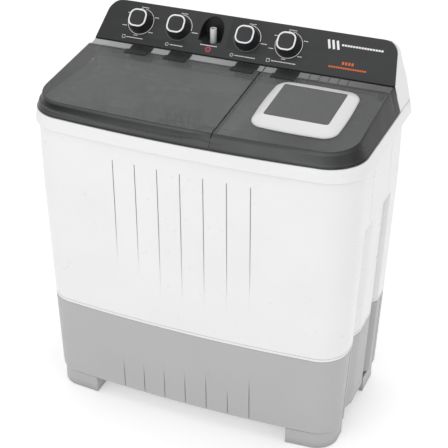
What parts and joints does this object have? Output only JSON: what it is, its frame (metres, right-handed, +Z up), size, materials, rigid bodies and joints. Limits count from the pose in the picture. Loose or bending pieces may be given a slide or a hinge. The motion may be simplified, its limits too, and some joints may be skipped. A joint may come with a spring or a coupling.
{
  "type": "twin tub washer",
  "caption": "Free-standing washing machine with a wash tub and a spin tub side by side under smoked lids, a tilted rear control panel and a two-tone moulded body.",
  "frame": {"origin": "centre of the footprint, on the floor", "axes": "+X to the spin tub side, +Y to the back, +Z up"},
  "size_m": [0.896, 0.5, 1.0237],
  "materials": {
    "white_plastic": "satin gloss",
    "tub_plastic": "smooth moulded",
    "grey_plastic": "satin",
    "smoke_plastic": "clear smoke, polished",
    "window_plastic": "polished",
    "panel_plastic": "satin gloss",
    "knob_plastic": "satin",
    "hinge_plastic": "satin",
    "pale_plastic": "smooth moulded",
    "basket_plastic": "smooth moulded",
    "black_rubber": "matte",
    "bright_steel": "brushed",
    "zinc_steel": "zinc plated",
    "cast_metal": "cast",
    "motor_paint": "painted",
    "brake_lining": "matte",
    "valve_plastic": "smooth moulded"
  },
  "bodies": {
    "machine": {"base_tray": "grey_plastic", "cabinet": "white_plastic", "top_frame": "white_plastic", "rear_panel": "white_plastic", "rear_panel_screws": "bright_steel", "front_feet": "grey_plastic", "rear_feet": "grey_plastic", "tub_deck": "tub_plastic", "wash_tub": "tub_plastic", "spin_tub": "tub_plastic", "drain_cover": "tub_plastic", "drain_valve": "valve_plastic", "drain_outlet": "black_rubber", "wash_seal": "black_rubber", "wash_bearing": "bright_steel", "drive_belt": "black_rubber", "motor_bracket": "zinc_steel", "wash_motor": "motor_paint", "spin_bellows": "black_rubber", "brake_post": "zinc_steel", "spin_motor": "motor_paint", "motor_mounts": "black_rubber", "capacitor": "valve_plastic", "hinge_brackets": "hinge_plastic", "hinge_end_post": "hinge_plastic", "console_shell": "white_plastic", "control_panel": "panel_plastic", "inlet_cup": "panel_plastic", "inlet_spout": "white_plastic", "wash_timer": "valve_plastic", "drain_switch": "valve_plastic", "wash_switch": "valve_plastic", "spin_timer": "valve_plastic", "knob_sockets": "bright_steel", "cord_gland": "black_rubber"},
    "wash_lid_body": {"wash_lid": "smoke_plastic", "wash_hinge_pins": "bright_steel"},
    "spin_lid_body": {"spin_lid": "smoke_plastic", "spin_lid_frame": "white_plastic", "spin_lid_window": "window_plastic", "spin_hinge_pins": "bright_steel"},
    "spin_cover_body": {"spin_cover": "pale_plastic"},
    "lint_filter_body": {"lint_filter": "pale_plastic"},
    "wash_timer_dial": {"wash_timer_knob": "knob_plastic"},
    "drain_dial": {"drain_knob": "knob_plastic"},
    "wash_dial": {"wash_knob": "knob_plastic"},
    "spin_timer_dial": {"spin_timer_knob": "knob_plastic"},
    "pulsator_body": {"pulsator": "pale_plastic", "pulsator_screw": "bright_steel", "wash_shaft": "bright_steel", "wash_pulley": "cast_metal"},
    "wash_motor_rotor": {"wash_motor_shaft": "bright_steel", "motor_pulley": "cast_metal"},
    "spin_rotor": {"spin_basket": "basket_plastic", "basket_cap": "pale_plastic", "spin_shaft": "bright_steel", "brake_drum": "cast_metal"},
    "brake_arm": {"brake_lever": "zinc_steel", "brake_shoe": "brake_lining"},
    "drain_plunger_body": {"drain_plunger": "black_rubber"}
  },
  "joints": [
    {"name": "wash_lid_hinge", "type": "hinge", "parent": "machine", "child": "wash_lid_body", "pos_m": [-0.171, 0.121, 0.919], "axis": [1, 0, 0], "range_deg": [-95, 0]},
    {"name": "spin_lid_hinge", "type": "hinge", "parent": "machine", "child": "spin_lid_body", "pos_m": [0.25, 0.121, 0.919], "axis": [1, 0, 0], "range_deg": [-95, 0]},
    {"name": "spin_cover_hinge", "type": "hinge", "parent": "machine", "child": "spin_cover_body", "pos_m": [0.25, 0.095, 0.863], "axis": [1, 0, 0], "range_deg": [-82, 0]},
    {"name": "lint_filter_slide", "type": "slide", "parent": "machine", "child": "lint_filter_body", "axis": [0, 0, 1], "range_m": [0, 0.05]},
    {"name": "wash_timer_turn", "type": "hinge", "parent": "machine", "child": "wash_timer_dial", "pos_m": [-0.304, 0.17949, 0.98286], "axis": [0, -0.7478, 0.6639], "range_deg": [-300, 0]},
    {"name": "drain_knob_turn", "type": "hinge", "parent": "machine", "child": "drain_dial", "pos_m": [-0.191, 0.17949, 0.98286], "axis": [0, -0.7478, 0.6639], "range_deg": [-90, 0]},
    {"name": "wash_knob_turn", "type": "hinge", "parent": "machine", "child": "wash_dial", "pos_m": [0.0064, 0.17949, 0.98286], "axis": [0, -0.7478, 0.6639], "range_deg": [-90, 0]},
    {"name": "spin_timer_turn", "type": "hinge", "parent": "machine", "child": "spin_timer_dial", "pos_m": [0.1223, 0.17949, 0.98286], "axis": [0, -0.7478, 0.6639], "range_deg": [-300, 0]},
    {"name": "pulsator_spin", "type": "hinge", "parent": "machine", "child": "pulsator_body", "pos_m": [-0.171, -0.054, 0.36], "axis": [0, 0, 1], "continuous": true},
    {"name": "wash_motor_spin", "type": "hinge", "parent": "machine", "child": "wash_motor_rotor", "pos_m": [0.04, -0.054, 0.3], "axis": [0, 0, 1], "continuous": true},
    {"name": "spin_basket_spin", "type": "hinge", "parent": "machine", "child": "spin_rotor", "pos_m": [0.25, -0.058, 0.45], "axis": [0, 0, 1], "continuous": true},
    {"name": "brake_lever_pivot", "type": "hinge", "parent": "machine", "child": "brake_arm", "pos_m": [0.342, -0.128, 0.232], "axis": [0, 0, 1], "range_deg": [0, 1.7]},
    {"name": "drain_plunger_lift", "type": "slide", "parent": "machine", "child": "drain_plunger_body", "axis": [0, 0, 1], "range_m": [0, 0.0125]}
  ],
  "couplings": [
    {"joint": "spin_cover_hinge", "follows": "spin_lid_hinge", "ratio": 0.85},
    {"joint": "brake_lever_pivot", "follows": "spin_lid_hinge", "ratio": -0.0168},
    {"joint": "wash_motor_spin", "follows": "pulsator_spin", "ratio": 3.5},
    {"joint": "drain_plunger_lift", "follows": "drain_knob_turn", "m_per_rad": -0.0076}
  ]
}
